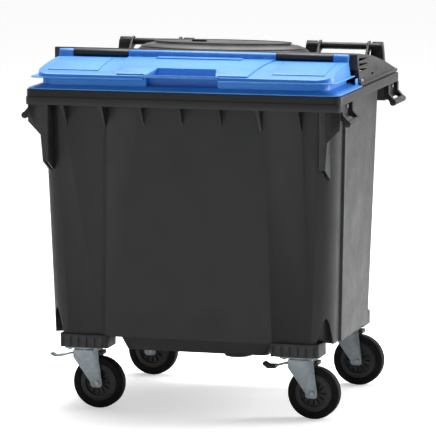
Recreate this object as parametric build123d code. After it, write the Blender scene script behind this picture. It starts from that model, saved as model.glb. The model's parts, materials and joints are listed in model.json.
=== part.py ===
from build123d import *
import os
from math import cos, radians, sin

# A four-wheeled refuse container with a large hinged lid and a smaller lid set into its front.
# Millimetres. X runs along the wide front, -Y is the front, +Z is up.
# The origin is on the floor, midway between the four castors.

# ---------------------------------------------------------------- castors
wheel_d = 200.0             # tyre outside diameter
tyre_w = 46.0               # tyre width
tyre_depth = 28.0           # rubber thickness, radially
hub_bore_d = 20.0           # hub bore, lined by a bush
hub_slots = 12              # openings between the spokes
axle_d = 12.0
fork_room = 40.0            # height that the fork and plate add above the wheel
castor_h = wheel_d + fork_room  # floor to the top of the mounting plate
castor_span_x = 852.0       # swivel axis to swivel axis
castor_span_y = 688.0
castor_trail = 54.0         # wheel axle behind the swivel axis
castor_plate_l = 138.0
castor_plate_w = 110.0
castor_plate_t = 5.0
castor_bolt_dx = 105.0      # mounting bolt spacing
castor_bolt_dy = 80.0
castor_bolt_d = 10.0
race_d = 76.0               # swivel bearing
race_h = 8.0
kingpin_d = 14.0
fork_t = 4.0                # fork sheet thickness
fork_gap = 4.0              # free space between tyre side and fork leg
fork_front = 42.0           # fork crown ahead of the swivel axis
fork_back = 58.0            # fork crown behind the swivel axis
toe_front = 28.0            # lower end of a fork leg, ahead of and behind the axle
toe_back = 18.0
toe_r = 12.0                # its rounded corners
axle_head_r = 9.0
axle_head_h = 6.0
pedal_reach = 112.0         # brake pedal's length ahead of its pivot
pedal_w = 34.0
pedal_t = 5.0

# ---------------------------------------------------------------- tub
wall_t = 5.5
floor_drop = 46.0           # tub floor above the castor plates
floor_z = castor_h + floor_drop
corner_r = 78.0             # front corners of the tub
rear_corner_r = 165.0       # rear corners
top_hx = 582.0              # half width under the rim
top_front = 402.0           # front wall under the rim, ahead of the origin
top_rear = 345.0
draft_x = 29.0              # how far each wall leans in towards the floor
draft_front = 11.0
draft_rear = 42.0
bottom_hx = top_hx - draft_x
bottom_front = top_front - draft_front
bottom_rear = top_rear - draft_rear
rim_top_z = 1234.0
rim_hx = top_hx + 34.0
rim_front = top_front + 68.0
rim_rear = top_rear + 116.0
rim_r = 30.0                # rim corner radius
rim_t = 5.0
rim_skirt = 32.0            # depth of the rim's skirt
comb_h = 56.0               # depth of the front skirt that a lifting comb takes
comb_bottom_z = rim_top_z - comb_h
comb_step_z = comb_bottom_z + 29.0  # its lower band stands proud below this height
comb_proud = 4.0
comb_r = 22.0               # corners of that band
comb_wrap = 26.0            # how far it runs round them
gusset_pitch = 153.0        # gussets under the front rim
gusset_shift = -14.0        # the row sits a little left of the middle
gusset_t = 15.0             # thickness at the top and at the foot
gusset_foot_t = 5.0
gusset_h = 86.0
step_panel_hx_top = 303.0   # raised middle panel of the front wall
step_panel_hx_bottom = 331.0
step_panel_proud = 8.0
step_panel_bevel = 20.0     # width of its sloping sides
side_panel_front_top = 102.0 - top_front    # front edge of the raised side panels
side_panel_front_bottom = 140.0 - top_front
side_panel_proud = 10.0
wing_hx = rim_hx - 7.0      # corner wings under the front rim
wing_inner_x = top_hx - 52.0
wing_web_pitch = 16.0
wing_y = 14.0 - rim_front
wing_t = 6.0
wing_h = 222.0              # their length below the rim's skirt
belly_hx_top = 318.0        # pan that hangs between the castors
belly_hx_bottom = 280.0
belly_drop = 65.0
belly_z = floor_z - belly_drop
belly_front = 99.0 - bottom_front
belly_rear = bottom_rear - 75.0
housing_w = 190.0           # castor housings under the floor
housing_d = 116.0
housing_offset = -9.0       # housing centre towards the middle, from the swivel axis
housing_ribs = 6
scoop_r = 42.0              # hollow at each front bottom corner
scoop_h = 230.0
scoop_below = 28.0
scoop_z0 = floor_z - scoop_below
scoop_inset = 34.0          # its axis inside both walls
drain_x = 150.0
drain_y = belly_front + 62.0
drain_d = 80.0              # drain hole
plug_d = 107.0

# ---------------------------------------------------------------- side grips
grip_bar_d = 25.0
grip_len = 169.0
grip_front_y = 52.5 - top_front     # middle of the front grips
grip_rear_y = rim_rear - 94.5
grip_arm_w = 22.0
grip_plate_t = 5.0
grip_plate_x = top_hx + side_panel_proud + 2.0  # face of the pads that the grips are screwed to
grip_bar_x = grip_plate_x + 37.0
grip_plate_z0 = rim_top_z - 94.0
grip_plate_z1 = rim_top_z - rim_skirt - 2.0
grip_bar_z = grip_plate_z0 - 8.0
screw_d = 8.0
screw_head_d = 14.0
screw_head_h = 5.0

# ---------------------------------------------------------------- lid hinge at the rear
bar_d = 28.0                # bar that the lid lugs turn on
bar_wall = 2.5
bar_y = rim_rear + 18.0
bar_z = rim_top_z + 96.0
bracket_w = 58.0
bracket_inner_x = 255.0     # middle of the inner brackets
bracket_outer_x = 522.0
bracket_foot_z = rim_top_z - 48.0
lug_t = 8.0
lug_r = 22.0
run_gap = 0.05              # radial clearance of a running fit
hole_gap = 0.25             # radial clearance round bolts and screws

# ---------------------------------------------------------------- main lid
lid_t = 5.0
lid_hx = rim_hx - 16.0
lid_seat = 3.0              # lid edge above the rim
LID_Z = rim_top_z + lid_seat
lid_rear = rim_rear - 2.0
lid_ridge_y = 240.0 - top_front
lid_ridge_z = LID_Z + 130.0
lid_mid_y = lid_rear - 386.0
lid_mid_z = LID_Z + 100.0
lid_fall_y = lid_rear - 191.0
lid_fall_z = LID_Z + 61.0
lid_tail_y = lid_rear - 4.0
lid_tail_z = LID_Z + 13.0
lid_toe_y = lid_ridge_y + 45.0  # lower front corner of the side plates
lid_band = 13.0             # height of the band along the lower edge
lid_band_proud = 6.0
dome_y = lid_rear - 364.0
dome_hx = 363.0
dome_hy = 150.0
dome_rise = 34.0
dome_step = 8.0
dome_shoulder = 78.0
stop_x = -95.0              # rubber stop on the dome
stop_w = 56.0
stop_h = 8.0
ridge_depth = 62.0          # front wall under the ridge

# ---------------------------------------------------------------- ridge hinge and front lid
knuckle_r = 14.0
pivot_y = lid_ridge_y - knuckle_r - 2.0
pivot_z = lid_ridge_z - knuckle_r - 3.0
knuckle_gap = 1.5           # between turning pieces
dark_knuckle_x0 = 293.0
dark_knuckle_x1 = 514.0
blue_knuckle_x1 = 572.0
pin_d = 10.0
front_hx = lid_hx - 4.0
front_t = 5.0
front_edge_y = -rim_front - 10.0
front_root_z = pivot_z - knuckle_r  # top of the front lid below its hinge
front_mid_y = (front_edge_y + pivot_y) / 2 - 6.0
front_edge_z = LID_Z + 55.0
front_mid_z = (front_edge_z + front_root_z) / 2 + 8.0
brim_h = 11.0
brim_z = front_edge_z - brim_h
brim_w = 16.0               # flat brim round the crowned plate
brim_t = 4.0
brim_r = 34.0
flank_y = front_edge_y + 10.0   # foot of the plate's front flank
flank_lean = 12.0           # how far the flanks lean in
front_corner_r = 60.0
notch_hx = 138.0            # hand notch in the front edge
notch_rear_hx = 112.0
notch_y = front_edge_y + 96.0   # top of its steep rear face
notch_slope = 8.0
notch_dip = 9.0             # its floor falls this far towards the rear
notch_z = front_edge_z + 7.0    # its floor at the front
lip_z = notch_z + 2.0       # bead along its front edge
lip_t = 6.0
lip_d = 44.0
panel_hx_top = 292.0        # raised middle panel
panel_hx_bottom = 252.0
panel_y = front_edge_y + 22.0
panel_rise = 5.0
ledge_hx = 168.0
ledge_rise = 9.0
field_rise = 2.5            # embossed fields beside the panel
field_x0 = 340.0
field_x1 = 540.0

# ---------------------------------------------------------------- front frame
frame_t = 4.0
frame_hx = lid_hx - 38.0
frame_front = 14.0 - rim_front
frame_flange_hx = rim_hx - 5.0
frame_flange_front = -rim_front - 5.0
frame_r = 52.0
frame_skirt_h = 18.0        # sloping skirt from the rim up to the collar
frame_skirt_r = 40.0
frame_side_z = front_root_z - 40.0  # top of the collar's sides beside the hinge
frame_seat_gap = 0.5        # to the closed front lid
recess_hx = 140.0           # finger recess under the hand notch
recess_y = frame_front + 32.0
tab_rear_y = lid_toe_y + 47.0

SIDES = (("left", -1), ("right", 1))
FLAT_GAP = 0.4              # free space between faces that only rest on each other

nodes = {}


# ---------------------------------------------------------------- helpers
def block(x0, x1, y0, y1, z0, z1):
    """Box between two corners."""
    middle = Pos((x0 + x1) / 2, (y0 + y1) / 2, (z0 + z1) / 2)
    return middle * Box(abs(x1 - x0), abs(y1 - y0), abs(z1 - z0))


def side_block(side, x0, x1, y0, y1, z0, z1):
    """Box on one side, with X measured outwards from the middle."""
    return block(side * x0, side * x1, y0, y1, z0, z1)


def prism_x(points, x0, x1):
    """Y-Z outline pulled along X."""
    x0, x1 = sorted((x0, x1))
    face = make_face(Polyline(*[(x0, y, z) for y, z in points], close=True))
    return extrude(face, amount=x1 - x0, dir=(1, 0, 0))


def prism_y(points, y0, y1):
    """X-Z outline pulled along Y."""
    face = make_face(Polyline(*[(x, y0, z) for x, z in points], close=True))
    return extrude(face, amount=y1 - y0, dir=(0, 1, 0))


def rod_x(y, z, r, x0, x1):
    return Pos((x0 + x1) / 2, y, z) * Rot(0, 90, 0) * Cylinder(r, abs(x1 - x0))


def rod_y(x, z, r, y0, y1):
    return Pos(x, (y0 + y1) / 2, z) * Rot(90, 0, 0) * Cylinder(r, abs(y1 - y0))


def rod_z(x, y, r, z0, z1):
    return Pos(x, y, (z0 + z1) / 2) * Cylinder(r, z1 - z0)


def plate_z(hx, y0, y1, r, z0, z1):
    """Slab with rounded corners."""
    outline = Pos(0, (y0 + y1) / 2, z0) * RectangleRounded(2 * hx, y1 - y0, r)
    return extrude(outline, amount=z1 - z0)


def tapered(low, high, z0, z1, r):
    """Rounded block that changes from one plan to another; a plan is (hx, y0, y1)."""
    sections = []
    for (hx, y0, y1), z in ((low, z0), (high, z1)):
        sections.append(Pos(0, (y0 + y1) / 2, z) * RectangleRounded(2 * hx, y1 - y0, r))
    return loft(sections, ruled=True)


def at_height(low, high, z0, z1, z):
    """Plan of a tapered block at height z."""
    share = (z - z0) / (z1 - z0)
    return tuple(a + (b - a) * share for a, b in zip(low, high))


def save(name, shapes):
    nodes[name] = shapes if isinstance(shapes, list) else [shapes]


# ---------------------------------------------------------------- tub
TUB_LOW = (bottom_hx, -bottom_front, bottom_rear)
TUB_HIGH = (top_hx, -top_front, top_rear)
RIM_UNDER_Z = rim_top_z - rim_t


def tub_plan(z, inset=0.0):
    hx, y0, y1 = at_height(TUB_LOW, TUB_HIGH, floor_z, comb_bottom_z, z)
    return hx - inset, y0 + inset, y1 - inset


def tub_solid(z0, z1, inset=0.0):
    """Tapered block with small corners at the front and large ones at the rear."""
    low, high = tub_plan(z0, inset), tub_plan(z1, inset)
    front = tapered(low, high, z0, z1, corner_r - inset)
    reach = -top_front - rear_corner_r
    rear = tapered((low[0], reach, low[2]), (high[0], reach, high[2]), z0, z1, rear_corner_r - inset)
    return front & rear


def scoops(extra=0.0):
    """Cones that hollow the front bottom corners; extra leaves a wall behind them."""
    cones = []
    for side in (-1, 1):
        tip = Cone(scoop_r + extra, 1.0 + extra, scoop_h + extra)
        x, y = side * (bottom_hx - scoop_inset), scoop_inset - bottom_front
        cones.append(Pos(x, y, scoop_z0 + (scoop_h + extra) / 2) * tip)
    return cones


def belly(inset=0.0, z_top=floor_z + 1):
    low = (belly_hx_bottom - inset, belly_front + inset, belly_rear - inset)
    high = (belly_hx_top - inset, belly_front + inset, belly_rear - inset)
    return tapered(low, high, belly_z + inset, z_top, 24.0 - inset / 2)


def rim():
    """Flat top, a skirt all round and the deep two-band comb skirt at the front."""
    inner = tub_plan(rim_top_z, wall_t)
    top = plate_z(rim_hx, -rim_front, rim_rear, rim_r, RIM_UNDER_Z, rim_top_z)
    top -= plate_z(inner[0], inner[1], inner[2], corner_r - wall_t, RIM_UNDER_Z - 1, rim_top_z + 1)
    skirt = plate_z(rim_hx, -rim_front, rim_rear, rim_r, rim_top_z - rim_skirt, rim_top_z)
    skirt -= plate_z(rim_hx - rim_t, rim_t - rim_front, rim_rear - rim_t, rim_r - rim_t,
                     rim_top_z - rim_skirt - 1, rim_top_z + 1)
    band_y = -rim_front - comb_proud
    comb = plate_z(rim_hx, band_y, 0, comb_r, comb_bottom_z, comb_step_z)
    comb -= plate_z(rim_hx - rim_t, rim_t - rim_front, 0, comb_r - rim_t, comb_bottom_z - 1, comb_step_z + 1)
    comb &= block(-rim_hx, rim_hx, band_y, comb_wrap - rim_front, comb_bottom_z, comb_step_z)
    return top + skirt + comb


def gussets():
    """Thin triangles that carry the front rim; the two on the panel steps are larger."""
    ribs = []
    for place in range(-3, 4):
        grow = 1.15 if abs(place) == 2 else 1.0
        x = place * gusset_pitch + gusset_shift
        foot = comb_bottom_z - gusset_h * grow
        wall_y = tub_plan(foot)[1] + 1.0
        outline = [(wall_y, foot), (tub_plan(RIM_UNDER_Z)[1] + 2, RIM_UNDER_Z),
                   (rim_t - rim_front - 1, RIM_UNDER_Z), (rim_t - rim_front - 1, comb_bottom_z)]
        half, foot_half = gusset_t / 2 * grow, gusset_foot_t / 2
        taper = [(x - half, RIM_UNDER_Z), (x + half, RIM_UNDER_Z), (x + half, comb_bottom_z),
                 (x + foot_half, foot), (x - foot_half, foot), (x - half, comb_bottom_z)]
        rib = prism_x(outline, x - half, x + half)
        ribs.append(rib & prism_y(taper, -rim_front, wall_y + 1))
    return ribs


def front_panel():
    """Slightly raised middle of the front wall, wider at the bottom."""
    z0, z1 = floor_z + 4, RIM_UNDER_Z
    sections = []
    for z, hx in ((z0, step_panel_hx_bottom), (z1, step_panel_hx_top)):
        y = tub_plan(z)[1]
        foot_hx = hx + step_panel_bevel
        outline = [(-foot_hx, y + 2), (foot_hx, y + 2), (foot_hx, y), (hx, y - step_panel_proud),
                   (-hx, y - step_panel_proud), (-foot_hx, y)]
        sections.append(make_face(Polyline(*[(px, py, z) for px, py in outline], close=True)))
    return loft(sections, ruled=True)


def side_panel(side):
    """Raised side wall, with a step near its front edge and a cut rear bottom corner."""
    z0, z1 = floor_z, RIM_UNDER_Z
    sections = []
    for z, y0 in ((z0, side_panel_front_bottom), (z1, side_panel_front_top)):
        hx, _, rear = tub_plan(z)
        y1 = rear - rear_corner_r + 10
        thick = side_panel_proud + 3
        centre = Pos(side * (hx - 3 + thick / 2), (y0 + y1) / 2, z)
        sections.append(centre * Rectangle(thick, y1 - y0))
    return loft(sections, ruled=True)


def corner_wing(side):
    """Plate in the front plane with two webs back to the wall."""
    top_z = comb_bottom_z + 4
    foot_z = top_z - wing_h
    neck_x = wing_inner_x + wing_web_pitch + wing_t
    outline = [(wing_inner_x, top_z), (wing_hx, top_z), (wing_hx, top_z - 70), (neck_x + 8, top_z - 120),
               (neck_x, foot_z), (wing_inner_x, foot_z)]
    wing = prism_y([(side * x, z) for x, z in outline], wing_y, wing_y + wing_t)
    for x in (wing_inner_x, wing_inner_x + wing_web_pitch):
        web = [(wing_y, foot_z), (wing_y, RIM_UNDER_Z), (42 - top_front, RIM_UNDER_Z),
               (50 - top_front, foot_z - 60)]
        wing += prism_x(web, side * x, side * (x + wing_t))
    return wing


def castor_housing(side, end):
    """Ribbed box under the floor that the castor plate bolts to."""
    x = side * (castor_span_x / 2 + housing_offset)
    y = end * castor_span_y / 2
    hw, hd = housing_w / 2, housing_d / 2
    box = block(x - hw, x + hw, y - hd, y + hd, castor_h, floor_z + wall_t)
    box = fillet(box.edges().filter_by(Axis.Z), 10.0)
    if end > 0:
        wall_y = tub_plan(floor_z + 60)[2]
        inner_y = wall_y - rear_corner_r * 0.6
        slope = [(inner_y, floor_z), (y + hd - 4, floor_z), (y + hd - 4, floor_z + wall_t),
                 (wall_y - 6, floor_z + 62), (inner_y, floor_z + 62)]
        box += prism_x(slope, x - hw + 6, x + hw - 6)
    pitch = housing_w / housing_ribs
    for i in range(housing_ribs):
        groove_x = x - hw + (i + 0.5) * pitch
        groove_y = y + end * hd
        box -= block(groove_x - 5, groove_x + 5, groove_y - 5, groove_y + 5, castor_h - 1, floor_z - 6)
    for dx, dy in bolt_places():
        bolt_x = side * castor_span_x / 2 + dx
        box -= rod_z(bolt_x, y + dy, castor_bolt_d / 2 + hole_gap, castor_h - 1, castor_h + 30)
    return box


def bolt_places():
    half_x, half_y = castor_bolt_dx / 2, castor_bolt_dy / 2
    return [(sx * half_x, sy * half_y) for sx in (-1, 1) for sy in (-1, 1)]


def grip_pads():
    """Flats that the grips are screwed to; a web ties each rear one to the round corner."""
    pads = []
    half = grip_len / 2
    for _, side in SIDES:
        for y in (grip_front_y, grip_rear_y):
            y1 = min(y + half, rim_rear - rim_t)
            pads.append(side_block(side, top_hx - 4, grip_plate_x, y - half, y1,
                                   grip_plate_z0, RIM_UNDER_Z))
        web_y = grip_rear_y - half
        pads.append(side_block(side, top_hx - rear_corner_r, grip_plate_x - 1, web_y, web_y + wall_t,
                               grip_plate_z0, RIM_UNDER_Z))
    return pads


def make_tub():
    body = tub_solid(floor_z, rim_top_z)
    body += belly()
    for side in (-1, 1):
        body += side_panel(side)
        body += corner_wing(side)
    body += front_panel()
    for pad in grip_pads():
        body += pad
    for gusset in gussets():
        body += gusset
    body += rim()
    for cone in scoops():
        body -= cone
    for side in (-1, 1):
        for end in (-1, 1):
            body += castor_housing(side, end)
    hollow = tub_solid(floor_z + wall_t, rim_top_z + 2, wall_t)
    for cone in scoops(wall_t):
        hollow -= cone
    hollow += belly(wall_t, floor_z + wall_t + 2)
    body -= hollow
    body -= rod_z(drain_x, drain_y, drain_d / 2, belly_z - 2, belly_z + wall_t + 2)
    for _, _, screw_y, screw_z, side in grip_screw_places():
        x0, x1 = side * (grip_plate_x - 12), side * (grip_plate_x + 1)
        body -= rod_x(screw_y, screw_z, screw_d / 2 + hole_gap, x0, x1)
    for x in bracket_places():
        for bolt_x in (x - bracket_w / 4, x + bracket_w / 4):
            y0, y1 = rim_rear - rim_t - 1, rim_rear + 1
            body -= rod_y(bolt_x, bracket_bolt_z(), screw_d / 2 + hole_gap, y0, y1)
    save("tub", body)


# ---------------------------------------------------------------- side grips
def grip_screw_places():
    """Name, side name, y, z and side of each grip screw."""
    places = []
    for side_name, side in SIDES:
        for end_name, y in (("front", grip_front_y), ("rear", grip_rear_y)):
            for dy in (-grip_len / 5, grip_len / 5):
                places.append((end_name, side_name, y + dy, grip_plate_z1 - 14, side))
    return places


def make_grips():
    bar_r = grip_bar_d / 2
    half = grip_len / 2
    for side_name, side in SIDES:
        for end_name, y in (("front", grip_front_y), ("rear", grip_rear_y)):
            y0, y1 = y - half, y + half
            grip = side_block(side, grip_plate_x, grip_plate_x + grip_plate_t, y0, y1,
                              grip_plate_z0, grip_plate_z1)
            for arm_y in (y0, y1 - grip_arm_w):
                arm = [(grip_plate_x + 1, grip_plate_z1), (rim_hx - 2, grip_plate_z1),
                       (rim_hx - 2, grip_bar_z + 34), (grip_bar_x + 6, grip_bar_z + 8),
                       (grip_bar_x - 3, grip_bar_z - bar_r + 1), (grip_bar_x - 18, grip_bar_z + 10),
                       (grip_plate_x + 1, grip_plate_z0 + 8)]
                grip += prism_y([(side * x, z) for x, z in arm], arm_y, arm_y + grip_arm_w)
            grip += rod_y(side * grip_bar_x, grip_bar_z, bar_r, y0, y1)
            for _, _, screw_y, screw_z, screw_side in grip_screw_places():
                if screw_side == side and abs(screw_y - y) < half:
                    grip -= rod_x(screw_y, screw_z, screw_d / 2 + hole_gap, side * (grip_plate_x - 1),
                                  side * (grip_plate_x + grip_plate_t + 1))
            save(f"side_grip_{end_name}_{side_name}", grip)
    screws = []
    for _, _, y, z, side in grip_screw_places():
        seat = grip_plate_x + grip_plate_t
        shank = rod_x(y, z, screw_d / 2, side * (seat - 15), side * (seat + 1))
        screws.append(shank + rod_x(y, z, screw_head_d / 2, side * seat, side * (seat + screw_head_h)))
    save("grip_screws", screws)


# ---------------------------------------------------------------- rear brackets and bars
def bracket_places():
    return [side * x for _, side in SIDES for x in (bracket_inner_x, bracket_outer_x)]


def bracket_bolt_z():
    return bracket_foot_z + 22


def make_brackets():
    names = ["inner_left", "outer_left", "inner_right", "outer_right"]
    top_r = bar_d / 2 + 6
    clear_y = lid_rear + 5
    outline = [(rim_rear, bracket_foot_z), (rim_rear, rim_top_z - 1), (clear_y, rim_top_z + 20),
               (clear_y + 2, bar_z + 4), (bar_y, bar_z + top_r), (bar_y + top_r - 6, bar_z + top_r - 4),
               (bar_y + top_r - 4, bar_z - 20), (rim_rear + 18, bracket_foot_z + 6),
               (rim_rear + 12, bracket_foot_z)]
    bolts = []
    for name, x in zip(names, bracket_places()):
        bracket = prism_x(outline, x - bracket_w / 2, x + bracket_w / 2)
        top_edges = bracket.edges().filter_by(GeomType.LINE).filter_by(Axis.X).group_by(Axis.Z)[-1]
        bracket = chamfer(top_edges, 4.0)
        for side in (-1, 1):
            cut_x = x + side * bracket_w / 2
            cut = [(cut_x, bar_z + top_r + 1), (cut_x - side * 9, bar_z + top_r + 1),
                   (cut_x, rim_top_z + 30)]
            bracket -= prism_y(cut, rim_rear - 2, bar_y + top_r + 2)
        bar_inner, bar_outer = bar_ends()
        side = 1 if x > 0 else -1
        x0, x1 = side * (bar_inner - run_gap), side * (bar_outer + run_gap)
        bracket -= rod_x(bar_y, bar_z, bar_d / 2 + run_gap, x0, x1)
        for bolt_x in (x - bracket_w / 4, x + bracket_w / 4):
            z = bracket_bolt_z()
            bracket -= rod_y(bolt_x, z, screw_d / 2 + hole_gap, rim_rear - 1, rim_rear + 40)
            bracket -= rod_y(bolt_x, z, screw_head_d / 2 + 1, rim_rear + 10, rim_rear + 40)
            bolt = rod_y(bolt_x, z, screw_d / 2, rim_rear - rim_t - 8, rim_rear + 11)
            bolt += rod_y(bolt_x, z, screw_head_d / 2, rim_rear + 10, rim_rear + 10 + screw_head_h)
            nut = RegularPolygon(screw_head_d / 2 + 1, 6)
            nut = extrude(Pos(bolt_x, rim_rear - rim_t, z) * Rot(90, 0, 0) * nut, amount=screw_d * 0.8)
            bolts.append(bolt + nut)
        save(f"hinge_bracket_{name}", bracket)
    save("bracket_bolts", bolts)
    for side_name, side in SIDES:
        inner, outer = bar_ends()
        tube = rod_x(bar_y, bar_z, bar_d / 2, side * inner, side * outer)
        tube -= rod_x(bar_y, bar_z, bar_d / 2 - bar_wall, side * (inner - 1), side * (outer + 1))
        save(f"hinge_bar_{side_name}", tube)


def bar_ends():
    return bracket_inner_x - bracket_w / 4, bracket_outer_x + bracket_w / 4


# ---------------------------------------------------------------- main lid
def lid_profile(inset=0.0):
    """Y-Z outline of the main lid, open below when inset."""
    base = LID_Z - (2 if inset else 0)
    return [(lid_toe_y, base), (lid_ridge_y + inset, lid_ridge_z - inset - 6),
            (lid_ridge_y + inset + 5, lid_ridge_z - inset), (lid_mid_y, lid_mid_z - inset),
            (lid_fall_y, lid_fall_z - inset), (lid_tail_y - inset, lid_tail_z - inset),
            (lid_rear - inset, base)]


def roof_z(y):
    """Height of the roof's top surface."""
    points = [(lid_ridge_y, lid_ridge_z), (lid_mid_y, lid_mid_z), (lid_fall_y, lid_fall_z),
              (lid_tail_y, lid_tail_z)]
    for (y0, z0), (y1, z1) in zip(points, points[1:]):
        if y <= y1:
            return z0 + (z1 - z0) * (y - y0) / (y1 - y0)
    return lid_tail_z


def dome(inset=0.0):
    """Long oval dome with a smaller step on top."""
    base_z = roof_z(dome_y + dome_hy) - 8 - inset
    crest = roof_z(dome_y) + dome_rise - inset
    rise = crest - base_z
    sections = []
    for i in range(7):
        lean = radians(84.0 * i / 6)
        shrink = dome_shoulder * (1 - cos(lean))
        oval = Ellipse(dome_hx - shrink - inset, dome_hy - shrink * 0.8 - inset)
        sections.append(Pos(0, dome_y, base_z + rise * sin(lean) / sin(radians(84.0))) * oval)
    shape = loft(sections, ruled=True)
    step = Ellipse(dome_hx - dome_shoulder - 4 - inset, dome_hy - dome_shoulder * 0.8 - 4 - inset)
    step = extrude(Pos(0, dome_y, crest - 12) * step, amount=12 + dome_step, taper=30)
    return shape + step


def lid_side_cuts():
    """Openwork near the ridge and two small slots, cut through both side plates."""
    cuts = []
    for i, (start, length) in enumerate(((30, 124), (34, 132), (40, 108))):
        y0 = lid_ridge_y + start
        z1 = lid_ridge_z - 21 - i * 20
        cuts.append([(y0, z1 - 12), (y0, z1), (y0 + length, z1 - 9), (y0 + length, z1 - 12)])
    for y, z in ((lid_ridge_y + 98, LID_Z + 25), (lid_mid_y + 5, LID_Z + 31)):
        cuts.append([(y - 15, z - 4), (y - 15, z + 4), (y + 15, z + 4), (y + 15, z - 4)])
    return cuts


def make_main_lid():
    lid = prism_x(lid_profile(), -lid_hx, lid_hx)
    band = [(lid_toe_y, LID_Z), (lid_toe_y - 4, LID_Z + lid_band), (lid_rear, LID_Z + lid_band),
            (lid_rear, LID_Z)]
    lid += prism_x(band, -lid_hx - lid_band_proud, lid_hx + lid_band_proud)
    lid += dome()
    lid -= prism_x(lid_profile(lid_t), -lid_hx + lid_t, lid_hx - lid_t)
    lid -= dome(lid_t)
    mouth = [(lid_toe_y - 60, LID_Z - 2), (lid_ridge_y - 20, lid_ridge_z - ridge_depth),
             (lid_ridge_y + 20, lid_ridge_z - ridge_depth), (lid_toe_y + 20, LID_Z - 2)]
    lid -= prism_x(mouth, -lid_hx + lid_t, lid_hx - lid_t)
    wall = [(lid_ridge_y, lid_ridge_z - 6), (lid_ridge_y, lid_ridge_z - ridge_depth),
            (lid_ridge_y + lid_t, lid_ridge_z - ridge_depth), (lid_ridge_y + lid_t, lid_ridge_z - 6)]
    lid += prism_x(wall, -lid_hx, lid_hx)
    strip = [(lid_toe_y, LID_Z), (lid_ridge_y, lid_ridge_z - 6), (lid_ridge_y + lid_t, lid_ridge_z - 6),
             (lid_toe_y + lid_t, LID_Z)]
    for _, side in SIDES:
        lid += prism_x(strip, side * (lid_hx - 20), side * lid_hx)
        inner_x, outer_x, top_z = tab_place()
        lid -= side_block(side, inner_x - FLAT_GAP, outer_x + FLAT_GAP, lid_toe_y - 40, lid_toe_y + 20,
                          LID_Z - 1, top_z + FLAT_GAP)
    for outline in lid_side_cuts():
        lid -= prism_x(outline, -lid_hx - 1, -lid_hx + lid_t + 1)
        lid -= prism_x(outline, lid_hx - lid_t - 1, lid_hx + 1)
    for _, side in SIDES:
        lid += dark_knuckle(side)
        for x in lug_places():
            lid += lid_lug(side * x)
    for _, side in SIDES:
        x0, x1 = side * (dark_knuckle_x0 - 1), side * (dark_knuckle_x1 + 1)
        lid -= rod_x(pivot_y, pivot_z, pin_d / 2 + run_gap, x0, x1)
        lid -= rod_x(bar_y, bar_z, bar_d / 2 + run_gap, side * bracket_inner_x, side * bracket_outer_x)
        for y in frame_screw_ys():
            x0, x1 = side * (lid_hx - 12), side * (lid_hx + 12)
            lid -= rod_x(y, frame_screw_z(), screw_d / 2 + hole_gap, x0, x1)
    save("main_lid", lid)


def dark_knuckle(side):
    bar = rod_x(pivot_y, pivot_z, knuckle_r, side * dark_knuckle_x0, side * dark_knuckle_x1)
    web = side_block(side, dark_knuckle_x0, dark_knuckle_x1, pivot_y, lid_ridge_y + 2,
                     pivot_z - knuckle_r, pivot_z + knuckle_r)
    return bar + web


def lug_places():
    inner = bracket_inner_x + bracket_w / 2 + knuckle_gap
    outer = bracket_outer_x - bracket_w / 2 - knuckle_gap
    return inner + lug_t / 2, outer - lug_t / 2


def lid_lug(x):
    """Ear from the roof back to the bar."""
    foot_y = lid_rear - 67.0
    outline = [(foot_y, roof_z(foot_y) - 2), (lid_tail_y - 8, roof_z(lid_tail_y - 8) - 2),
               (bar_y - 4, bar_z - lug_r + 0.5), (bar_y - lug_r * 0.7, bar_z + lug_r * 0.7)]
    ear = prism_x(outline, x - lug_t / 2, x + lug_t / 2)
    return ear + rod_x(bar_y, bar_z, lug_r, x - lug_t / 2, x + lug_t / 2)


# ---------------------------------------------------------------- front lid
def under_front_arc(drop, hx, y_min=front_edge_y, y_max=pivot_y, z_min=brim_z):
    """Solid under the front lid's crowned top line, moved down by drop, between two Y values."""
    over = 14.0
    top = ThreePointArc((0, front_edge_y - over, front_edge_z - 4 - drop),
                        (0, front_mid_y, front_mid_z - drop), (0, pivot_y + over, front_root_z - drop))
    start, end = top @ 0, top @ 1
    floor = [Line(end, (0, end.Y, z_min)), Line((0, end.Y, z_min), (0, start.Y, z_min)),
             Line((0, start.Y, z_min), start)]
    face = make_face([top] + floor)
    solid = extrude(Pos(-hx - over, 0, 0) * face, amount=2 * (hx + over), dir=(1, 0, 0))
    return solid & block(-hx, hx, y_min, y_max, z_min - 1, front_root_z + 20)


def notch_tool(grow):
    """Hand hollow in the middle of the front edge, narrower at its rear, with a sloping rear face."""
    top = front_root_z + 10
    y0 = front_edge_y + lip_t - grow
    side = [(y0, notch_z - grow), (notch_y - notch_slope + grow, notch_z - notch_dip - grow),
            (notch_y + grow, front_mid_z + grow), (notch_y + grow, top), (y0, top)]
    plan = [(-notch_hx - grow, front_edge_y - 1), (notch_hx + grow, front_edge_y - 1),
            (notch_rear_hx + grow, notch_y + 10), (-notch_rear_hx - grow, notch_y + 10)]
    tool = extrude(make_face(Polyline(*[(x, y, brim_z) for x, y in plan], close=True)), amount=80)
    return prism_x(side, -notch_hx - grow, notch_hx + grow) & tool


def raised_panel():
    """Trapezium with slanted sides and a ledge near the hinge."""
    panel = under_front_arc(-panel_rise, panel_hx_top + 40, panel_y, pivot_y - 22)
    outline = [(-panel_hx_bottom, front_edge_y), (panel_hx_bottom, front_edge_y),
               (panel_hx_top, pivot_y), (-panel_hx_top, pivot_y)]
    prism = extrude(make_face(Polyline(*[(x, y, brim_z) for x, y in outline], close=True)), amount=90)
    panel &= prism
    ledge = under_front_arc(-ledge_rise, ledge_hx, pivot_y - 58, pivot_y - 22)
    return panel + ledge


def embossed_field(side):
    y0, y1 = front_edge_y + 60, pivot_y - 50
    field = under_front_arc(-field_rise, front_hx, y0, y1)
    return field & side_block(side, field_x0, field_x1, y0, y1, brim_z, front_root_z + 20)


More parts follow.
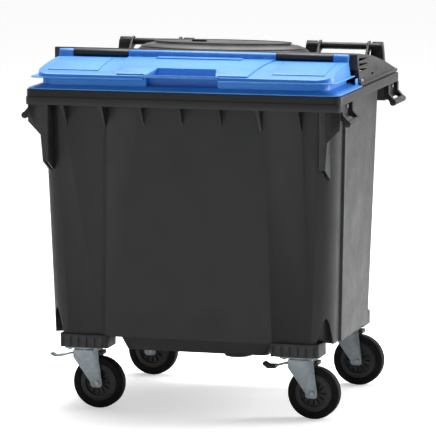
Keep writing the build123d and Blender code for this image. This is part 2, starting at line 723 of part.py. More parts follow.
def flanks(inset=0.0):
    """Block whose sides and front are the leaning flanks of the crowned plate."""
    hx, y0 = front_hx - brim_w - inset, flank_y + inset
    low, high = (hx, y0, -front_edge_y), (hx - flank_lean, y0 + flank_lean, -front_edge_y)
    return tapered(low, high, brim_z - 5, front_root_z + 30, front_corner_r - inset)


def make_front_lid():
    outer = under_front_arc(0, front_hx + 5, front_edge_y - 5)
    outer &= flanks()
    brim = plate_z(front_hx, front_edge_y, -front_edge_y, brim_r, brim_z, brim_z + brim_t)
    outer += brim & block(-front_hx, front_hx, front_edge_y, pivot_y, brim_z, brim_z + brim_t)
    outer = outer + raised_panel() + embossed_field(-1) + embossed_field(1)
    outer += block(-notch_hx - lip_t, notch_hx + lip_t, front_edge_y, front_edge_y + lip_d, brim_z, lip_z)
    outer -= notch_tool(0)
    inner = under_front_arc(front_t, front_hx, front_edge_y, pivot_y + 1, brim_z - 1)
    inner &= flanks(front_t)
    inner -= notch_tool(front_t)
    lid = outer - inner
    under_lip_z = notch_z - front_t - 3
    lid -= block(-notch_hx - 8, notch_hx + 8, front_edge_y - 5, frame_front + 6, brim_z - 1, under_lip_z)
    knuckles = [(-dark_knuckle_x0 + knuckle_gap, dark_knuckle_x0 - knuckle_gap)]
    for _, side in SIDES:
        knuckles.append(tuple(sorted((side * (dark_knuckle_x1 + knuckle_gap), side * blue_knuckle_x1))))
    for x0, x1 in knuckles:
        lid += rod_x(pivot_y, pivot_z, knuckle_r, x0, x1)
        lid += block(x0, x1, pivot_y - knuckle_r, pivot_y - knuckle_r + 6, front_root_z - 8, pivot_z)
    for _, side in SIDES:
        gap_x0 = side * (dark_knuckle_x0 - knuckle_gap)
        gap_x1 = side * (dark_knuckle_x1 + knuckle_gap)
        lid -= rod_x(pivot_y, pivot_z, knuckle_r + knuckle_gap, gap_x0, gap_x1)
        lid -= block(gap_x0, gap_x1, pivot_y - 8, pivot_y + 20, pivot_z - 30, pivot_z)
    for _, side in SIDES:
        x0, x1 = side * (dark_knuckle_x0 - 30), side * (blue_knuckle_x1 - 1)
        lid -= rod_x(pivot_y, pivot_z, pin_d / 2 + run_gap, x0 - side * 2, x1 + side * 2)
        pin = rod_x(pivot_y, pivot_z, pin_d / 2, x0, x1)
        save("ridge_pin_left" if side < 0 else "ridge_pin_right", pin)
    save("front_lid", lid)


# ---------------------------------------------------------------- front frame
def frame_screw_z():
    return LID_Z + lid_band + 8


def frame_screw_ys():
    return lid_toe_y + 14, tab_rear_y - 12


def tab_place():
    """Inner face, outer face and top of the tabs that reach inside the main lid's side plates."""
    outer_x = lid_hx - lid_t - FLAT_GAP
    return outer_x - frame_t, outer_x, frame_screw_z() + 12


def frame_wall():
    """Upright collar, open at the rear, set back in the middle for the fingers."""
    rear = -frame_front
    z0, z1 = LID_Z, front_root_z
    outer = plate_z(frame_hx, frame_front, rear, frame_r, z0, z1)
    outer -= block(-recess_hx, recess_hx, frame_front - 5, recess_y, z0 - 1, z1 + 1)
    inner = plate_z(frame_hx - frame_t, frame_front + frame_t, rear, frame_r - frame_t, z0 - 1, z1 + 1)
    inner -= block(-recess_hx - frame_t, recess_hx + frame_t, frame_front - 5, recess_y + frame_t,
                   z0 - 2, z1 + 2)
    keep = block(-lid_hx, lid_hx, frame_front - 1, pivot_y - knuckle_r - 6, z0, z1)
    keep += block(-lid_hx, lid_hx, frame_front - 1, lid_toe_y - 6, z0, frame_side_z)
    return (outer - inner) & keep


def frame_skirt(rear_y):
    """Ring on the rim: a flat foot and a slope up to the collar."""
    foot_z, top_z = LID_Z + frame_t, LID_Z + frame_skirt_h
    low = (frame_flange_hx, frame_flange_front, -frame_flange_front)
    high = (frame_hx, frame_front, -frame_front)
    ring = plate_z(*low, frame_skirt_r, LID_Z, foot_z) + tapered(low, high, foot_z, top_z, frame_skirt_r)
    ring -= plate_z(frame_hx - 14, frame_front + 14, -frame_front, frame_r - 14, LID_Z - 1, foot_z)
    ring -= plate_z(frame_hx - frame_t, frame_front + frame_t, -frame_front, frame_r - frame_t,
                    foot_z, top_z + 1)
    return ring & block(-lid_hx - 20, lid_hx + 20, frame_flange_front, rear_y, LID_Z, top_z)


def make_front_frame():
    frame = frame_wall()
    keep = under_front_arc(front_t + frame_seat_gap, lid_hx, z_min=LID_Z - 1)
    keep -= notch_tool(front_t + frame_seat_gap)
    frame &= keep
    flange_rear = lid_toe_y - knuckle_gap - 4
    shelf_z = LID_Z + frame_skirt_h
    shelf = block(-recess_hx - frame_t, recess_hx + frame_t, frame_front + 1, recess_y + frame_t,
                  shelf_z - frame_t, shelf_z)
    frame += frame_skirt(flange_rear) + shelf
    for _, side in SIDES:
        x0, x1, top_z = tab_place()
        frame += side_block(side, x0, x1, flange_rear - 40, tab_rear_y, LID_Z, top_z)
        for y in frame_screw_ys():
            frame -= rod_x(y, frame_screw_z(), screw_d / 2 + hole_gap, side * (x0 - 6), side * (x1 + 2))
    save("front_frame", frame)
    screws = []
    for _, side in SIDES:
        for y in frame_screw_ys():
            z = frame_screw_z()
            screw = rod_x(y, z, screw_d / 2, side * (lid_hx - 18), side * (lid_hx + 1))
            screw += rod_x(y, z, screw_head_d / 2, side * lid_hx, side * (lid_hx + screw_head_h - 1))
            screws.append(screw)
    save("frame_screws", screws)


# ---------------------------------------------------------------- buffers and drain
def make_buffers():
    """Rubber stops on the rim that the closed lid lies on."""
    pads = []
    side_x = lid_hx - 10
    for _, side in SIDES:
        for x, y in ((side_x, lid_ridge_y + 102), (side_x, lid_rear - 129), (430, lid_rear - 29),
                     (430, frame_front + 11)):
            pads.append(rod_z(side * x, y, 8.0, rim_top_z, LID_Z - FLAT_GAP))
    save("lid_buffers", pads)


def make_lid_stop():
    """Rubber block on the dome that the opened front lid would meet."""
    top_z = roof_z(dome_y) + dome_rise + dome_step
    stop = block(stop_x - stop_w / 2, stop_x + stop_w / 2, dome_y - 10, dome_y + 10, top_z, top_z + stop_h)
    save("lid_stop", chamfer(stop.edges().group_by(Axis.Z)[-1], 2.0))


def make_drain():
    seal_z = belly_z - 3
    plug = rod_z(drain_x, drain_y, plug_d / 2, seal_z - 11, seal_z)
    plug = chamfer(plug.edges().group_by(Axis.Z)[0], 3.0)
    plug += rod_z(drain_x, drain_y, drain_d / 2 - run_gap, seal_z - 1, belly_z + 16)
    plug -= rod_z(drain_x, drain_y, plug_d / 2 - 13.5, seal_z - 12, seal_z - 6)
    half = plug_d / 2 - 17
    plug += block(drain_x - half, drain_x + half, drain_y - 6, drain_y + 6, seal_z - 11, seal_z - 2)
    save("drain_plug", plug)
    seal = rod_z(drain_x, drain_y, (drain_d + plug_d) / 4 + 1, seal_z, belly_z)
    seal -= rod_z(drain_x, drain_y, drain_d / 2 + 1, seal_z - 1, belly_z + 1)
    save("plug_seal", seal)


# ---------------------------------------------------------------- castors
def leg_outline(x, trail_x):
    """X-Z outline of a fork leg, its toe still square."""
    crown_z = castor_h - castor_plate_t - race_h - 1
    axle_z = wheel_d / 2
    return [(x - fork_front, crown_z), (x + fork_back, crown_z), (x + fork_back + 2, crown_z - 34),
            (trail_x + toe_back, axle_z), (trail_x + toe_back, axle_z - toe_back),
            (trail_x - toe_front, axle_z - toe_back), (trail_x - toe_front, axle_z),
            (x - fork_front, crown_z - 30)]


def make_castor(name, x, y, braked):
    axle_z = wheel_d / 2
    trail_x = x + castor_trail
    plate_z0 = castor_h - castor_plate_t
    crown_z = plate_z0 - race_h - 1
    half_l, half_w = castor_plate_l / 2, castor_plate_w / 2
    plate = block(x - half_l, x + half_l, y - half_w, y + half_w, plate_z0, castor_h)
    plate = fillet(plate.edges().filter_by(Axis.Z), 8.0)
    race = rod_z(x, y, race_d / 2, plate_z0 - race_h, plate_z0)
    plate += chamfer(race.edges().group_by(Axis.Z)[0], 3.0)
    plate -= rod_z(x, y, kingpin_d / 2 + run_gap, plate_z0 - race_h - 1, castor_h - 1.5)
    for dx, dy in bolt_places():
        plate -= rod_z(x + dx, y + dy, castor_bolt_d / 2 + hole_gap, plate_z0 - 1, castor_h + 1)
    save(f"castor_plate_{name}", plate)

    inner = tyre_w / 2 + fork_gap
    face = inner + fork_t
    fork = block(x - fork_front, x + fork_back, y - face, y + face, crown_z - fork_t, crown_z)
    for end in (-1, 1):
        y0, y1 = sorted((y + end * inner, y + end * (inner + fork_t)))
        leg = prism_y(leg_outline(x, trail_x), y0, y1)
        leg = fillet(leg.edges().filter_by(Axis.Y).group_by(Axis.Z)[0], toe_r)
        crease = [(trail_x - 22, crown_z - 8), (x + fork_back - 8, crown_z - 8),
                  (trail_x + toe_back - 8, axle_z + 22), (trail_x - 22, axle_z + 22)]
        c0, c1 = sorted((y + end * (inner + fork_t - 1), y + end * (inner + fork_t + 2)))
        leg += prism_y(crease, c0, c1)
        fork += leg
    fork -= rod_z(x, y, kingpin_d / 2 + run_gap, crown_z - fork_t - 1, crown_z + 1)
    fork -= rod_y(trail_x, axle_z, axle_d / 2 + run_gap, y - inner - fork_t - 3, y + inner + fork_t + 3)
    save(f"fork_{name}", fork)

    bolt = rod_y(trail_x, axle_z, axle_d / 2, y - face - 1, y + face + axle_head_h + 2)
    hexagon = Rot(90, 0, 0) * RegularPolygon(axle_head_r, 6)
    head = extrude(Pos(trail_x, y - face, axle_z) * hexagon, amount=axle_head_h)
    nut = extrude(Pos(trail_x, y + face + axle_head_h, axle_z) * hexagon, amount=axle_head_h)
    save(f"axle_bolt_{name}", bolt + head + nut)

    bush = rod_y(trail_x, axle_z, hub_bore_d / 2 - run_gap, y - inner + 0.4, y + inner - 0.4)
    bush -= rod_y(trail_x, axle_z, axle_d / 2 + run_gap, y - inner, y + inner)
    save(f"wheel_bush_{name}", bush)

    make_wheel(name, trail_x, y, axle_z)
    guard = block(x + 16, x + fork_back + 16, y - inner + 1, y + inner - 1, wheel_d + 6, crown_z - fork_t)
    save(f"fork_guard_{name}", fillet(guard.edges().filter_by(Axis.Y).sort_by(Axis.X)[-2:], 5.0))
    if braked:
        make_pedal(name, x, y, crown_z - fork_t)


def make_wheel(name, x, y, z):
    half = tyre_w / 2
    hub_r = wheel_d / 2 - tyre_depth
    hub = rod_y(x, z, hub_r, y - half + 3, y + half - 3)
    for end in (-1, 1):
        c0, c1 = sorted((y + end * (half - 3 + 1), y + end * (half - 13)))
        hub -= rod_y(x, z, hub_r - 20, c0, c1) - rod_y(x, z, hub_bore_d / 2 + 12, c0 - 1, c1 + 1)
    for i in range(hub_slots):
        angle = 360.0 * i / hub_slots
        slot = Box(hub_r / 2 - 17, tyre_w, 7.0)
        hub -= Pos(x, y, z) * Rot(0, angle, 0) * Pos(hub_r / 2, 0, 0) * slot
    hub += rod_y(x, z, hub_r - 18, y - 2, y + 2)
    hub += rod_y(x, z, hub_bore_d / 2 + 7, y - half, y + half)
    hub -= rod_y(x, z, hub_bore_d / 2, y - half - 1, y + half + 1)
    save(f"wheel_hub_{name}", hub)
    tyre = rod_y(x, z, wheel_d / 2, y - half, y + half)
    tyre = fillet(tyre.edges().filter_by(GeomType.CIRCLE), 9.0)
    tyre -= rod_y(x, z, hub_r, y - half - 1, y + half + 1)
    save(f"tyre_{name}", tyre)


def pedal_pivot(x, crown_under):
    return x - fork_front + 16, crown_under - 14


def make_pedal(name, x, y, crown_under):
    """Foot lever that turns on a short cross pin under the fork crown."""
    px, pz = pedal_pivot(x, crown_under)
    tip = px - pedal_reach
    half = pedal_t / 2
    outline = [(px + 6, pz - half), (px - 30, pz - half), (px - 62, pz - 12), (tip + 16, pz - 17),
               (tip, pz - 9), (tip - 2, pz - 3), (tip + 14, pz - 11), (px - 62, pz - 12 + pedal_t),
               (px - 30, pz + half), (px + 6, pz + half)]
    lever = prism_y(outline, y - pedal_w / 2, y + pedal_w / 2)
    lever += rod_y(px, pz, 5.0, y - pedal_w / 2, y + pedal_w / 2)
    lever -= rod_y(px, pz, 3.0 + run_gap, y - pedal_w, y + pedal_w)
    save(f"brake_pedal_{name}", lever)
    inner = tyre_w / 2 + fork_gap
    save(f"pedal_pin_{name}", rod_y(px, pz, 3.0, y - inner, y + inner))


def make_castors():
    kingpins = []
    bolts = []
    for end_name, end in (("front", -1), ("rear", 1)):
        for side_name, side in SIDES:
            x, y = side * castor_span_x / 2, end * castor_span_y / 2
            make_castor(f"{end_name}_{side_name}", x, y, end < 0)
            under = castor_h - castor_plate_t - race_h - 1 - fork_t
            pin = rod_z(x, y, kingpin_d / 2, under - 1, castor_h - 1.5)
            pin += rod_z(x, y, kingpin_d / 2 + 5, under - 6, under - FLAT_GAP)
            kingpins.append(pin)
            for dx, dy in bolt_places():
                z = castor_h - castor_plate_t
                bolt = rod_z(x + dx, y + dy, castor_bolt_d / 2, z - 1, z + 30)
                head = extrude(Pos(x + dx, y + dy, z - 6) * RegularPolygon(9.0, 6), amount=6)
                bolts.append(bolt + head)
    save("kingpins", kingpins)
    save("castor_bolts", bolts)


def make_pedal_pad():
    """Rubber tip on the right brake pedal."""
    x, y = castor_span_x / 2, -castor_span_y / 2
    crown_under = castor_h - castor_plate_t - race_h - 1 - fork_t
    px, pz = pedal_pivot(x, crown_under)
    tip = px - pedal_reach
    outline = [(tip + 44, pz - 20), (tip + 12, pz - 21), (tip - 6, pz - 8), (tip - 4, pz + 2),
               (tip + 14, pz - 8), (tip + 44, pz - 8)]
    pad = prism_y(outline, y - pedal_w / 2 - 3, y + pedal_w / 2 + 3)
    pad -= nodes["brake_pedal_front_right"][0]
    save("pedal_pad", pad)


make_tub()
make_grips()
make_brackets()
make_main_lid()
make_front_lid()
make_front_frame()
make_buffers()
make_lid_stop()
make_drain()
make_castors()
make_pedal_pad()

os.makedirs("parts", exist_ok=True)
for node_name, shapes in nodes.items():
    solids = [solid for shape in shapes for solid in shape.solids()]
    whole = solids[0] if len(solids) == 1 else Compound(solids)
    export_step(whole, f"parts/{node_name}.step")
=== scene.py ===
import json
import math

import bmesh
import bpy
from mathutils import Matrix, Vector


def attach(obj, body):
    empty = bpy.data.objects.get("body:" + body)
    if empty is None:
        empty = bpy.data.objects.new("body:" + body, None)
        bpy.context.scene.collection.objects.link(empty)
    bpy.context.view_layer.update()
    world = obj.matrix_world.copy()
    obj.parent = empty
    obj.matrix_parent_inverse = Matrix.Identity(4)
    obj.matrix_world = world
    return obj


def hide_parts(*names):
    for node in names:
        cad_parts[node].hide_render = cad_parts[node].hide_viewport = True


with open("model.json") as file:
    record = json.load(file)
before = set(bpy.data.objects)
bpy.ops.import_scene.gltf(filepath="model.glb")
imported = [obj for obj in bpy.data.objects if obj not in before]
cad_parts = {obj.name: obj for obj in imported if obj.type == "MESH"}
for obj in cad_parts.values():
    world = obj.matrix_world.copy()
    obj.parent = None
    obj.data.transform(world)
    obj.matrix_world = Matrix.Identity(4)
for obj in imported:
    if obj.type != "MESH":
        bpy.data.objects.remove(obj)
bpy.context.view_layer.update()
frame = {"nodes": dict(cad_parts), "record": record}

MM = 0.001

scene = bpy.context.scene
scene.view_settings.view_transform = "Standard"


# ---------------------------------------------------------------- camera, floor and light
CAMERA_AZIMUTH = 16.46       # degrees round from the front
CAMERA_ELEVATION = 8.44
CAMERA_ROLL = -0.37
CAMERA_DISTANCE = 13.503
CAMERA_TARGET = (0.006, -0.009, 0.699)
CAMERA_LENS = 287.8
FLOOR_HALF = 45.0
FLOOR_LIFT = 0.47            # glow that only the camera sees, so that the floor reads as white
WALL_DIM = 0.15              # world strength in front of the object
WALL_BRIGHT = 1.0            # world strength behind it


def aim(obj, target, roll=0.0):
    """Turns a camera or lamp so that it looks at a point."""
    direction = Vector(target) - obj.location
    turn = direction.to_track_quat("-Z", "Y").to_matrix().to_4x4() @ Matrix.Rotation(roll, 4, "Z")
    obj.rotation_euler = turn.to_euler()


def make_camera():
    azimuth, elevation = math.radians(CAMERA_AZIMUTH), math.radians(CAMERA_ELEVATION)
    target = Vector(CAMERA_TARGET)
    camera = bpy.data.objects.new("camera", bpy.data.cameras.new("camera"))
    camera.data.lens = CAMERA_LENS
    camera.data.sensor_width = 36.0
    camera.data.clip_end = 2 * FLOOR_HALF
    camera.location = target + CAMERA_DISTANCE * Vector((
        math.sin(azimuth) * math.cos(elevation),
        -math.cos(azimuth) * math.cos(elevation),
        math.sin(elevation),
    ))
    aim(camera, target, math.radians(CAMERA_ROLL))
    scene.collection.objects.link(camera)
    scene.camera = camera


def make_floor():
    """Seamless pale floor, a little brighter to the eye than the light it throws back."""
    mesh = bpy.data.meshes.new("floor")
    half = FLOOR_HALF
    corners = [(-half, -half, 0), (half, -half, 0), (half, half, 0), (-half, half, 0)]
    mesh.from_pydata(corners, [], [(0, 1, 2, 3)])
    floor = bpy.data.objects.new("floor", mesh)
    scene.collection.objects.link(floor)
    material = bpy.data.materials.new("pale_floor")
    material.use_nodes = True
    nodes, links = material.node_tree.nodes, material.node_tree.links
    shader = nodes["Principled BSDF"]
    shader.inputs["Base Color"].default_value = (0.9, 0.9, 0.9, 1)
    shader.inputs["Roughness"].default_value = 1.0
    shader.inputs["Emission Color"].default_value = (1, 1, 1, 1)
    seen = nodes.new("ShaderNodeLightPath")
    lift = nodes.new("ShaderNodeMath")
    lift.operation = "MULTIPLY"
    lift.inputs[1].default_value = FLOOR_LIFT
    links.new(seen.outputs["Is Camera Ray"], lift.inputs[0])
    links.new(lift.outputs[0], shader.inputs["Emission Strength"])
    mesh.materials.append(material)


def add_lamp(name, place, target, size, power):
    data = bpy.data.lights.new(name, "AREA")
    data.shape = "DISK"
    data.size = size
    data.energy = power
    lamp = bpy.data.objects.new(name, data)
    lamp.location = place
    scene.collection.objects.link(lamp)
    aim(lamp, target)


def make_light():
    """White studio wall behind the object, dim in front of it, and three soft lamps."""
    world = bpy.data.worlds.new("studio")
    world.use_nodes = True
    nodes, links = world.node_tree.nodes, world.node_tree.links
    coords = nodes.new("ShaderNodeTexCoord")
    split = nodes.new("ShaderNodeSeparateXYZ")
    wall = nodes.new("ShaderNodeMapRange")
    limits = {"From Min": -0.15, "From Max": 0.35, "To Min": WALL_DIM, "To Max": WALL_BRIGHT}
    for name, value in limits.items():
        wall.inputs[name].default_value = value
    links.new(coords.outputs["Generated"], split.inputs[0])
    links.new(split.outputs["Y"], wall.inputs["Value"])
    links.new(wall.outputs["Result"], nodes["Background"].inputs["Strength"])
    nodes["Background"].inputs["Color"].default_value = (1.0, 1.0, 1.0, 1)
    scene.world = world
    middle = (0, 0, 0.8)
    add_lamp("side_key", (6.0, 2.6, 3.0), middle, 3.0, 300)
    add_lamp("top_soft", (-0.5, 1.2, 6.0), middle, 4.5, 400)
    add_lamp("front_fill", (-3.0, -6.5, 2.6), middle, 3.0, 20)


# ---------------------------------------------------------------- materials
class Shade:
    """A material's node tree with short calls for the nodes used here."""

    def __init__(self, name):
        self.material = bpy.data.materials.new(name)
        self.material.use_nodes = True
        self.tree = self.material.node_tree
        self.shader = self.tree.nodes["Principled BSDF"]
        self.coords = self.add("ShaderNodeTexCoord").outputs["Object"]

    def add(self, kind, **values):
        node = self.tree.nodes.new(kind)
        for key, value in values.items():
            setattr(node, key, value)
        return node

    def link(self, source, target):
        self.tree.links.new(source, target)

    def noise(self, scale, detail=4.0, roughness=0.55, stretch=(1, 1, 1)):
        mapping = self.add("ShaderNodeMapping")
        mapping.inputs["Scale"].default_value = stretch
        self.link(self.coords, mapping.inputs["Vector"])
        node = self.add("ShaderNodeTexNoise")
        node.inputs["Scale"].default_value = scale
        node.inputs["Detail"].default_value = detail
        node.inputs["Roughness"].default_value = roughness
        self.link(mapping.outputs["Vector"], node.inputs["Vector"])
        return node.outputs["Fac"]

    def ramp(self, source, low, high, from_low=0.35, from_high=0.65):
        node = self.add("ShaderNodeMapRange")
        node.inputs["From Min"].default_value = from_low
        node.inputs["From Max"].default_value = from_high
        node.inputs["To Min"].default_value = low
        node.inputs["To Max"].default_value = high
        self.link(source, node.inputs["Value"])
        return node.outputs["Result"]

    def mix(self, factor, a, b, blend="MIX"):
        node = self.add("ShaderNodeMix", data_type="RGBA", blend_type=blend)
        for socket, value in ((node.inputs[0], factor), (node.inputs[6], a), (node.inputs[7], b)):
            if isinstance(value, bpy.types.NodeSocket):
                self.link(value, socket)
            else:
                socket.default_value = value
        return node.outputs[2]

    def edges(self, low=0.53, high=0.62):
        """1 on raised edges, 0 elsewhere."""
        geometry = self.add("ShaderNodeNewGeometry")
        return self.ramp(geometry.outputs["Pointiness"], 0.0, 1.0, low, high)

    def multiply(self, a, b):
        node = self.add("ShaderNodeMath", operation="MULTIPLY")
        self.link(a, node.inputs[0])
        if isinstance(b, bpy.types.NodeSocket):
            self.link(b, node.inputs[1])
        else:
            node.inputs[1].default_value = b
        return node.outputs[0]

    def bump(self, layers):
        """Stacks bumps, each (height, strength, distance)."""
        normal = None
        for height, strength, distance in layers:
            node = self.add("ShaderNodeBump")
            node.inputs["Strength"].default_value = strength
            node.inputs["Distance"].default_value = distance
            self.link(height, node.inputs["Height"])
            if normal is not None:
                self.link(normal, node.inputs["Normal"])
            normal = node.outputs["Normal"]
        self.link(normal, self.shader.inputs["Normal"])

    def colour(self, value):
        self.link(value, self.shader.inputs["Base Color"])

    def roughness(self, value):
        self.link(value, self.shader.inputs["Roughness"])


def rgb(r, g, b):
    return (r, g, b, 1.0)


PLASTIC_GRAIN = 1400.0       # noise scale of the moulded surface


def moulded_plastic(name, base, worn, rough_low, rough_high):
    """Grained polyethylene: faint mottle, pale rubbed edges and fine scratches."""
    m = Shade(name)
    mottle = m.ramp(m.noise(5.0, 6.0), 0.0, 1.0)
    darker = tuple(c * 0.93 for c in base[:3]) + (1.0,)
    colour = m.mix(mottle, darker, base)
    scratch = m.noise(26.0, 8.0, 0.7, (1.0, 1.0, 14.0))
    scratch_mask = m.ramp(scratch, 0.0, 0.14, 0.64, 0.76)
    colour = m.mix(scratch_mask, colour, worn)
    rub = m.multiply(m.edges(), m.ramp(m.noise(40.0, 5.0), 0.1, 0.75))
    colour = m.mix(rub, colour, worn)
    m.colour(colour)
    m.roughness(m.ramp(m.noise(9.0, 7.0, 0.65), rough_low, rough_high, 0.3, 0.7))
    m.bump([
        (m.noise(PLASTIC_GRAIN, 2.0), 0.16, 0.0004),
        (m.noise(7.0, 3.0), 0.10, 0.004),
        (scratch, 0.05, 0.0006),
    ])
    m.shader.inputs["IOR"].default_value = 1.49
    return m.material


def rubber(name, base, grey, gloss):
    """Matt rubber with a grey bloom; gloss is the strength of its mirror layer."""
    m = Shade(name)
    m.shader.inputs["Specular IOR Level"].default_value = gloss
    bloom = m.ramp(m.noise(30.0, 6.0, 0.6), 0.0, 0.6)
    colour = m.mix(bloom, base, grey)
    m.colour(m.mix(m.multiply(m.edges(), 0.5), colour, grey))
    m.roughness(m.ramp(m.noise(60.0, 5.0), 0.55, 0.8))
    m.bump([(m.noise(900.0, 3.0), 0.25, 0.0004), (m.noise(55.0, 4.0), 0.12, 0.001)])
    return m.material


def galvanised(name, base, pale, scale):
    """Zinc spangle: cells of slightly different tone with a soft streak."""
    m = Shade(name)
    cells = m.add("ShaderNodeTexVoronoi")
    cells.inputs["Scale"].default_value = scale
    m.link(m.coords, cells.inputs["Vector"])
    tone = m.add("ShaderNodeSeparateColor")
    m.link(cells.outputs["Color"], tone.inputs["Color"])
    colour = m.mix(m.ramp(tone.outputs["Red"], 0.0, 0.55, 0.0, 1.0), base, pale)
    stain = m.ramp(m.noise(22.0, 6.0), 0.0, 0.45, 0.52, 0.75)
    colour = m.mix(stain, colour, tuple(c * 0.55 for c in base[:3]) + (1.0,))
    m.colour(m.mix(m.multiply(m.edges(), 0.6), colour, pale))
    m.roughness(m.ramp(tone.outputs["Green"], 0.34, 0.52, 0.0, 1.0))
    m.shader.inputs["Metallic"].default_value = 0.75
    m.bump([(m.noise(160.0, 4.0), 0.10, 0.0006), (m.noise(14.0, 2.0), 0.08, 0.002)])
    return m.material


def coated_steel(name, base, worn):
    """Black coating, rubbed through to the metal along its edges."""
    m = Shade(name)
    rub = m.multiply(m.edges(0.55, 0.64), m.ramp(m.noise(35.0, 6.0), 0.0, 0.9))
    m.colour(m.mix(rub, base, worn))
    m.roughness(m.ramp(m.noise(25.0, 5.0), 0.32, 0.5))
    m.bump([(m.noise(700.0, 2.0), 0.2, 0.0004)])
    return m.material


def make_materials():
    """Every slot's material: its finish, its own colour and the colour of its worn or pale places."""
    moulded = (
        ("tub_plastic", rgb(0.018, 0.0187, 0.02), rgb(0.042, 0.043, 0.045), 0.42, 0.56),
        ("lid_grey", rgb(0.019, 0.0197, 0.021), rgb(0.05, 0.051, 0.053), 0.38, 0.5),
        ("lid_blue", rgb(0.052, 0.285, 0.78), rgb(0.17, 0.46, 0.9), 0.34, 0.46),
        ("black_plastic", rgb(0.011, 0.011, 0.012), rgb(0.04, 0.04, 0.042), 0.42, 0.58),
        ("hub_plastic", rgb(0.016, 0.0155, 0.0155), rgb(0.04, 0.039, 0.038), 0.45, 0.6),
    )
    made = {name: moulded_plastic(name, *look) for name, *look in moulded}
    rubbers = (
        ("black_rubber", rgb(0.012, 0.012, 0.013), rgb(0.03, 0.03, 0.031), 0.5),
        ("tyre_rubber", rgb(0.004, 0.004, 0.0043), rgb(0.011, 0.011, 0.0115), 0.15),
    )
    made.update({name: rubber(name, *look) for name, *look in rubbers})
    zincs = (
        ("galvanised_steel", rgb(0.25, 0.292, 0.32), rgb(0.38, 0.425, 0.455), 90.0),
        ("zinc_fasteners", rgb(0.33, 0.34, 0.36), rgb(0.52, 0.53, 0.55), 260.0),
    )
    made.update({name: galvanised(name, *look) for name, *look in zincs})
    made["black_steel"] = coated_steel("black_steel", rgb(0.018, 0.018, 0.02), rgb(0.16, 0.16, 0.17))
    return made


MATERIALS = make_materials()
SLOTS = {part["node"]: part["material_slot"] for part in frame["record"]["subparts"]}
BODY_OF = {n: body for body, ns in frame["record"]["behaviour"]["bodies"].items() for n in ns}


def dress(obj, slot_name):
    """Gives a piece the one material made for its slot."""
    obj.data.materials.clear()
    obj.data.materials.append(MATERIALS[slot_name])


# ---------------------------------------------------------------- finished copies of the CAD parts
WELD_MM = 0.02               # points closer than this are one point
FLAT_DEG = 0.6               # faces that bend less than this are joined
SHARP_DEG = 28.0             # edges that bend more than this are rounded
EDGE_SEGMENTS = 2
EDGE_MM = {
    "tub_plastic": 1.6,
    "lid_grey": 1.4,
    "lid_blue": 1.4,
    "black_plastic": 1.4,
    "black_rubber": 0.4,
    "galvanised_steel": 0.8,
    "zinc_fasteners": 0.5,
    "hub_plastic": 0.8,
    "black_steel": 0.5,
    "tyre_rubber": 0.8,
}


def refine(node, edge):
    """Copy of a CAD node with merged faces and rounded edges, which takes the node's place."""
    source = frame["nodes"][node]
    mesh = source.data.copy()
    bm = bmesh.new()
    bm.from_mesh(mesh)
    bmesh.ops.remove_doubles(bm, verts=bm.verts, dist=WELD_MM * MM)
    bmesh.ops.dissolve_degenerate(bm, dist=WELD_MM * MM, edges=bm.edges)
    bmesh.ops.dissolve_limit(bm, angle_limit=math.radians(FLAT_DEG), verts=bm.verts, edges=bm.edges)
    bm.to_mesh(mesh)
    bm.free()
    mesh.name = node + "_finished"
    piece = bpy.data.objects.new(node + "_finished", mesh)
    scene.collection.objects.link(piece)
    for polygon in mesh.polygons:
        polygon.use_smooth = True
    round_edges = piece.modifiers.new("rounded edges", "BEVEL")
    round_edges.width = edge * MM
    round_edges.segments = EDGE_SEGMENTS
    round_edges.limit_method = "ANGLE"
    round_edges.angle_limit = math.radians(SHARP_DEG)
    round_edges.use_clamp_overlap = True
    round_edges.harden_normals = True
    apply_modifiers(piece)
    dress(piece, SLOTS[node])
    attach(piece, BODY_OF[node])
    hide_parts(node)


def apply_modifiers(piece):
    """Turns a piece's modifiers into its plain mesh."""
    bpy.context.view_layer.update()
    evaluated = piece.evaluated_get(bpy.context.evaluated_depsgraph_get())
    mesh = bpy.data.meshes.new_from_object(evaluated)
    old = piece.data
    piece.modifiers.clear()
    piece.data = mesh
    bpy.data.meshes.remove(old)


def finish_parts():
    """Every CAD node gets its finished copy."""
    for node, slot_name in SLOTS.items():
        refine(node, EDGE_MM[slot_name])


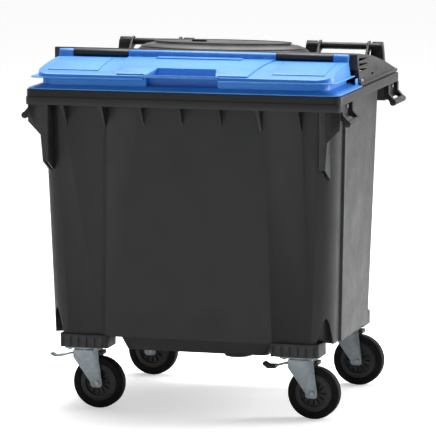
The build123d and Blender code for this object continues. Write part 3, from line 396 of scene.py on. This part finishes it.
# ---------------------------------------------------------------- pieces that follow a path or repeat
class Nodes:
    """A geometry node tree with named inputs."""

    def __init__(self, name):
        self.tree = bpy.data.node_groups.new(name, "GeometryNodeTree")
        self.tree.interface.new_socket("Geometry", in_out="OUTPUT", socket_type="NodeSocketGeometry")
        self.inputs = self.tree.nodes.new("NodeGroupInput")
        self.values = {}

    def named(self, name, kind, value):
        """Adds an input to the tree and keeps the value that the modifier gives it."""
        socket = self.tree.interface.new_socket(name, in_out="INPUT", socket_type=kind)
        self.values[socket.identifier] = value
        return self.inputs.outputs[name]

    def add(self, kind, links=(), **constants):
        node = self.tree.nodes.new(kind)
        for socket, value in constants.items():
            node.inputs[socket.replace("_", " ")].default_value = value
        for socket, source in links:
            self.tree.links.new(source, node.inputs[socket])
        return node

    def build(self, name, geometry, slot_name, body):
        """Finishes the tree, turns it into a plain mesh and hangs that on a body."""
        real = self.add("GeometryNodeRealizeInstances", [("Geometry", geometry)])
        paint = self.add("GeometryNodeSetMaterial", [("Geometry", real.outputs[0])])
        paint.inputs["Material"].default_value = MATERIALS[slot_name]
        out = self.tree.nodes.new("NodeGroupOutput")
        self.tree.links.new(paint.outputs[0], out.inputs[0])
        piece = bpy.data.objects.new(name, bpy.data.meshes.new(name))
        scene.collection.objects.link(piece)
        modifier = piece.modifiers.new("build", "NODES")
        modifier.node_group = self.tree
        for identifier, value in self.values.items():
            modifier[identifier] = value
        apply_modifiers(piece)
        for polygon in piece.data.polygons:
            polygon.use_smooth = True
        dress(piece, slot_name)
        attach(piece, body)


DOME_Y = 95.0
DOME_STEP = (276.0, 78.5, 1374.6)       # half length, half depth and height of the step's foot
DOME_SHOULDER = (329.0, 122.5, 1354.6)  # the same of the dome's shoulder
BEAD_RADIUS = 1.8
BEAD_SIDES = 8
RING_POINTS = 120


def dome_ridges():
    """Beads that follow the oval outlines of the dome."""
    tree = Nodes("dome ridges")
    radius = tree.named("Bead Radius", "NodeSocketFloat", BEAD_RADIUS * MM)
    rings = []
    for label, (half_x, half_y, z) in (("Step", DOME_STEP), ("Shoulder", DOME_SHOULDER)):
        size = tree.named(label + " Half Sizes", "NodeSocketVector", (half_x * MM, half_y * MM, 1.0))
        place = tree.named(label + " Place", "NodeSocketVector", (0.0, DOME_Y * MM, z * MM))
        circle = tree.add("GeometryNodeCurvePrimitiveCircle", Resolution=RING_POINTS, Radius=1.0)
        oval = tree.add("GeometryNodeTransform", [("Geometry", circle.outputs[0]), ("Scale", size),
                                                  ("Translation", place)])
        rings.append(oval.outputs[0])
    joined = tree.add("GeometryNodeJoinGeometry")
    for ring in rings:
        tree.tree.links.new(ring, joined.inputs[0])
    profile = tree.add("GeometryNodeCurvePrimitiveCircle", [("Radius", radius)], Resolution=BEAD_SIDES)
    tube = tree.add("GeometryNodeCurveToMesh", [("Curve", joined.outputs[0]),
                                                ("Profile Curve", profile.outputs[0])])
    tree.build("dome_ridges", tube.outputs[0], "lid_grey", BODY_OF["main_lid"])


make_camera()
make_floor()
make_light()
finish_parts()
dome_ridges()
